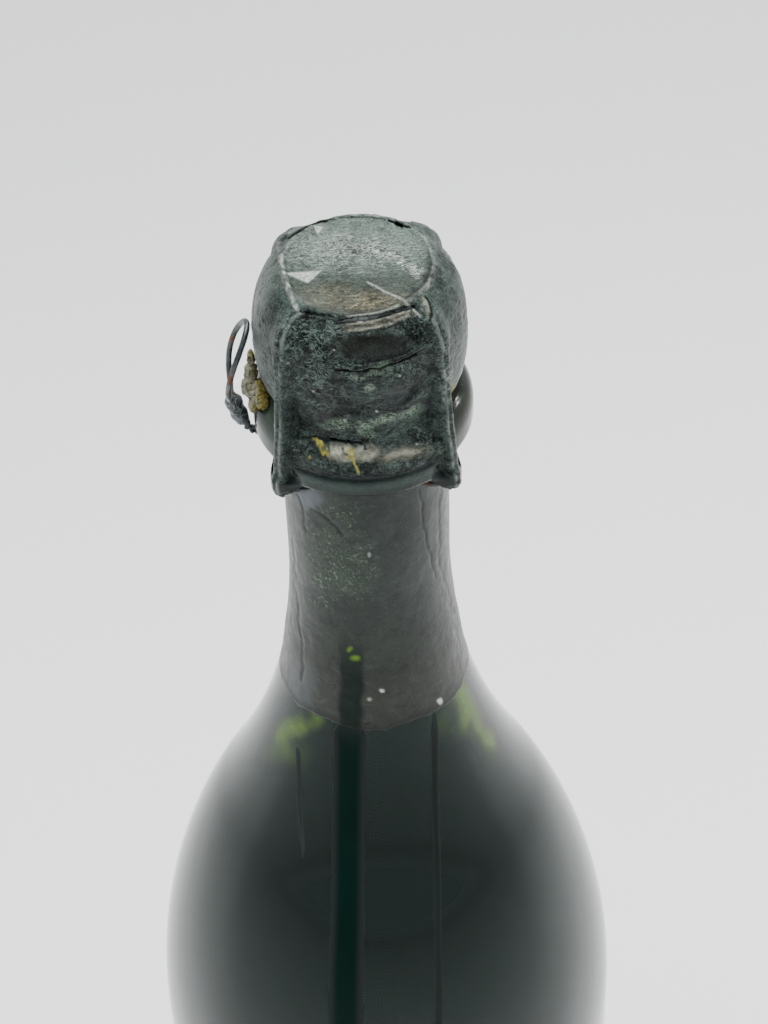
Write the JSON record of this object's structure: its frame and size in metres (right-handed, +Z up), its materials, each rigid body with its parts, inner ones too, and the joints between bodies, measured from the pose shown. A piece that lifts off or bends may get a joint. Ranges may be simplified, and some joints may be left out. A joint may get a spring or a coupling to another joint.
{
  "type": "champagne bottle",
  "caption": "Dark green glass champagne bottle with a mushroom cork, wire cage, foil hood and neck foil; the cork, cage and hood lift off.",
  "frame": {"origin": "centre of the ring that the bottle stands on", "axes": "+Z up along the bottle; -Y towards the front that the picture shows; the pull loop is on -X"},
  "size_m": [0.0884, 0.0884, 0.323],
  "materials": {
    "green_glass": "smooth dark green bottle glass",
    "neck_foil": "aged dark grey foil with a soft sheen, crusty in places",
    "hood_foil": "aged grey-green foil, crumpled, with verdigris",
    "cork": "dry cork, yellowed",
    "tinplate": "dull pressed tinplate",
    "cage_wire": "galvanised wire with rust spots"
  },
  "bodies": {
    "bottle": {"glass_bottle": "green_glass", "neck_foil": "neck_foil"},
    "cork": {"cork_body": "cork", "cork_disc_upper": "cork", "cork_disc_lower": "cork"},
    "cage": {"plaque": "tinplate", "cage_wire_front": "cage_wire", "cage_wire_right": "cage_wire", "cage_wire_back": "cage_wire", "cage_wire_left": "cage_wire", "cage_belt": "cage_wire"},
    "pull_loop": {"pull_loop": "cage_wire"},
    "hood": {"hood_foil": "hood_foil"}
  },
  "joints": [
    {"name": "cork_pull", "type": "slide", "parent": "bottle", "child": "cork", "axis": [0, 0, 1], "range_m": [0, 0.035]},
    {"name": "cage_lift", "type": "slide", "parent": "cork", "child": "cage", "axis": [0, 0, 1], "range_m": [0, 0.04], "deforming": ["cage_belt"]},
    {"name": "hood_lift", "type": "slide", "parent": "cage", "child": "hood", "axis": [0, 0, 1], "range_m": [0, 0.036]},
    {"name": "loop_fold", "type": "hinge", "parent": "cage", "child": "pull_loop", "pos_m": [-0.01915, 0, 0.2893], "axis": [0, -1, 0], "range_deg": [0, 110]}
  ]
}
